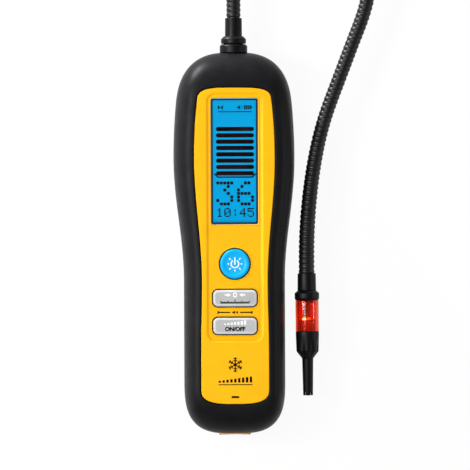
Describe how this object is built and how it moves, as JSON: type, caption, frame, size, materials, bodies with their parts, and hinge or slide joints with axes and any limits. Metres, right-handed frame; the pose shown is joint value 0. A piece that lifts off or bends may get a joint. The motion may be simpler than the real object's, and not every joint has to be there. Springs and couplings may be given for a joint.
{
  "type": "refrigerant leak detector",
  "caption": "Hand-held infrared refrigerant leak detector: rubber-booted body with display and keys, and a stay-put gooseneck ending in a lit probe with a screw-on tip.",
  "frame": {"origin": "middle of the housing's flat back, on the surface that it lies on", "axes": "+X to the right of the face, +Y along the housing towards the gooseneck's gland, +Z out of the face"},
  "size_m": [0.1076, 0.2793, 0.037],
  "materials": {
    "boot_rubber": "matt black soft rubber with a faint sheen",
    "yellow_plastic": "satin golden yellow moulding",
    "black_plastic": "satin black moulding",
    "clear_plastic": "clear and polished",
    "lcd_glass": "backlit cyan-blue display",
    "white_plastic": "plain white moulding",
    "key_rubber": "translucent grey silicone",
    "blue_plastic": "smooth cyan-blue",
    "grey_plastic": "satin light grey",
    "board_green": "green solder mask",
    "steel": "zinc-plated",
    "cell_aluminium": "machined",
    "battery_sleeve": "shrunk blue sleeve",
    "gooseneck_black": "glossy black ribbed coat",
    "red_lens": "translucent red, lit from inside",
    "lamp_white": "lamp bodies on a white board",
    "filter_white": "white felt disc"
  },
  "bodies": {
    "housing": {"boot": "boot_rubber", "front_shell": "yellow_plastic", "rear_shell": "black_plastic", "battery_door": "black_plastic", "door_screw": "steel", "case_screw_1": "steel", "case_screw_2": "steel", "case_screw_3": "steel", "case_screw_4": "steel", "board_screw_1": "steel", "board_screw_2": "steel", "board_screw_3": "steel", "board_screw_4": "steel", "display_window": "clear_plastic", "lcd_module": "lcd_glass", "lcd_tray": "white_plastic", "keypad_mat": "key_rubber", "main_board": "board_green", "battery_pack": "battery_sleeve", "speaker": "black_plastic", "air_pump": "black_plastic", "sensor_cell": "cell_aluminium", "intake_hose": "clear_plastic", "charging_socket": "black_plastic", "gland_body": "black_plastic", "gland_nut": "black_plastic", "base_ferrule": "black_plastic"},
    "power_key": {"power_button": "blue_plastic"},
    "zero_key": {"zero_button": "grey_plastic"},
    "sensitivity_key": {"sensitivity_button": "grey_plastic"},
    "neck_01": {"gooseneck_link_01": "gooseneck_black"},
    "neck_02": {"gooseneck_link_02": "gooseneck_black"},
    "neck_03": {"gooseneck_link_03": "gooseneck_black"},
    "neck_04": {"gooseneck_link_04": "gooseneck_black"},
    "neck_05": {"gooseneck_link_05": "gooseneck_black"},
    "neck_06": {"gooseneck_link_06": "gooseneck_black"},
    "neck_07": {"gooseneck_link_07": "gooseneck_black"},
    "neck_08": {"gooseneck_link_08": "gooseneck_black"},
    "neck_09": {"gooseneck_link_09": "gooseneck_black"},
    "neck_10": {"gooseneck_link_10": "gooseneck_black"},
    "neck_11": {"gooseneck_link_11": "gooseneck_black"},
    "neck_12": {"gooseneck_link_12": "gooseneck_black"},
    "neck_13": {"gooseneck_link_13": "gooseneck_black"},
    "neck_14": {"gooseneck_link_14": "gooseneck_black"},
    "neck_15": {"gooseneck_link_15": "gooseneck_black"},
    "probe_head": {"gooseneck_link_16": "gooseneck_black", "tip_ferrule": "black_plastic", "tip_collar": "black_plastic", "light_ring": "red_lens", "threaded_insert": "black_plastic", "air_pipe": "steel", "lamp_board": "lamp_white"},
    "screw_on_tip": {"probe_tip": "black_plastic", "tip_filter": "filter_white"}
  },
  "joints": [
    {"name": "power_press", "type": "slide", "parent": "housing", "child": "power_key", "axis": [0, 0, -1], "range_m": [0, 0.001], "stiffness_N_per_m": 1500},
    {"name": "zero_press", "type": "slide", "parent": "housing", "child": "zero_key", "axis": [0, 0, -1], "range_m": [0, 0.001], "stiffness_N_per_m": 1500},
    {"name": "sensitivity_press", "type": "slide", "parent": "housing", "child": "sensitivity_key", "axis": [0, 0, -1], "range_m": [0, 0.001], "stiffness_N_per_m": 1500},
    {"name": "neck_loop_bend", "type": "hinge", "parent": "housing", "child": "neck_01", "pos_m": [0, 0.11928, 0.0185], "axis": [0, 0, 1], "range_deg": [0, 11]},
    {"name": "neck_lift", "type": "hinge", "parent": "neck_01", "child": "neck_02", "pos_m": [-0.00003, 0.13766, 0.0185], "axis": [-0.999, 0.0436, 0], "range_deg": [-8, 8]},
    {"name": "neck_bend_03", "type": "hinge", "parent": "neck_02", "child": "neck_03", "pos_m": [0.00435, 0.15537, 0.0185], "axis": [0, 0, 1], "range_deg": [0, 11]},
    {"name": "neck_bend_04", "type": "hinge", "parent": "neck_03", "child": "neck_04", "pos_m": [0.01676, 0.16865, 0.0185], "axis": [0, 0, 1], "range_deg": [0, 11]},
    {"name": "neck_bend_05", "type": "hinge", "parent": "neck_04", "child": "neck_05", "pos_m": [0.03411, 0.17413, 0.0185], "axis": [0, 0, 1], "range_deg": [0, 11]},
    {"name": "neck_bend_06", "type": "hinge", "parent": "neck_05", "child": "neck_06", "pos_m": [0.05191, 0.1704, 0.0185], "axis": [0, 0, 1], "range_deg": [0, 11]},
    {"name": "neck_bend_07", "type": "hinge", "parent": "neck_06", "child": "neck_07", "pos_m": [0.06561, 0.15844, 0.0185], "axis": [0, 0, 1], "range_deg": [0, 11]},
    {"name": "neck_bend_08", "type": "hinge", "parent": "neck_07", "child": "neck_08", "pos_m": [0.07164, 0.14127, 0.0185], "axis": [0, 0, 1], "range_deg": [0, 11]},
    {"name": "neck_lift_09", "type": "hinge", "parent": "neck_08", "child": "neck_09", "pos_m": [0.06945, 0.12313, 0.0185], "axis": [-0.9591, 0.2831, 0], "range_deg": [-8, 8]},
    {"name": "neck_run_bend", "type": "hinge", "parent": "neck_09", "child": "neck_10", "pos_m": [0.0631, 0.10588, 0.0185], "axis": [0, 0, 1], "range_deg": [0, 8]},
    {"name": "neck_bend_11", "type": "hinge", "parent": "neck_10", "child": "neck_11", "pos_m": [0.05656, 0.0887, 0.0185], "axis": [0, 0, 1], "range_deg": [0, 8]},
    {"name": "neck_bend_12", "type": "hinge", "parent": "neck_11", "child": "neck_12", "pos_m": [0.05004, 0.0715, 0.0185], "axis": [0, 0, 1], "range_deg": [0, 8]},
    {"name": "neck_bend_13", "type": "hinge", "parent": "neck_12", "child": "neck_13", "pos_m": [0.04486, 0.05387, 0.0185], "axis": [0, 0, 1], "range_deg": [0, 8]},
    {"name": "neck_bend_14", "type": "hinge", "parent": "neck_13", "child": "neck_14", "pos_m": [0.04145, 0.0358, 0.0185], "axis": [0, 0, 1], "range_deg": [0, 8]},
    {"name": "neck_bend_15", "type": "hinge", "parent": "neck_14", "child": "neck_15", "pos_m": [0.03931, 0.01754, 0.0185], "axis": [0, 0, 1], "range_deg": [0, 8]},
    {"name": "neck_lift_16", "type": "hinge", "parent": "neck_15", "child": "probe_head", "pos_m": [0.03829, -0.00081, 0.0185], "axis": [-0.9998, 0.0221, 0], "range_deg": [-8, 8]},
    {"name": "tip_unscrew", "type": "slide", "parent": "probe_head", "child": "screw_on_tip", "axis": [0.0082, -1, 0], "range_m": [0, 0.012]}
  ],
  "couplings": [
    {"joint": "neck_bend_03", "follows": "neck_loop_bend", "ratio": 1},
    {"joint": "neck_bend_04", "follows": "neck_loop_bend", "ratio": 1},
    {"joint": "neck_bend_05", "follows": "neck_loop_bend", "ratio": 1},
    {"joint": "neck_bend_06", "follows": "neck_loop_bend", "ratio": 1},
    {"joint": "neck_bend_07", "follows": "neck_loop_bend", "ratio": 1},
    {"joint": "neck_bend_08", "follows": "neck_loop_bend", "ratio": 1},
    {"joint": "neck_bend_11", "follows": "neck_run_bend", "ratio": 1},
    {"joint": "neck_bend_12", "follows": "neck_run_bend", "ratio": 1},
    {"joint": "neck_bend_13", "follows": "neck_run_bend", "ratio": 1},
    {"joint": "neck_bend_14", "follows": "neck_run_bend", "ratio": 1},
    {"joint": "neck_bend_15", "follows": "neck_run_bend", "ratio": 1},
    {"joint": "neck_lift_09", "follows": "neck_lift", "ratio": 1},
    {"joint": "neck_lift_16", "follows": "neck_lift", "ratio": 1}
  ]
}
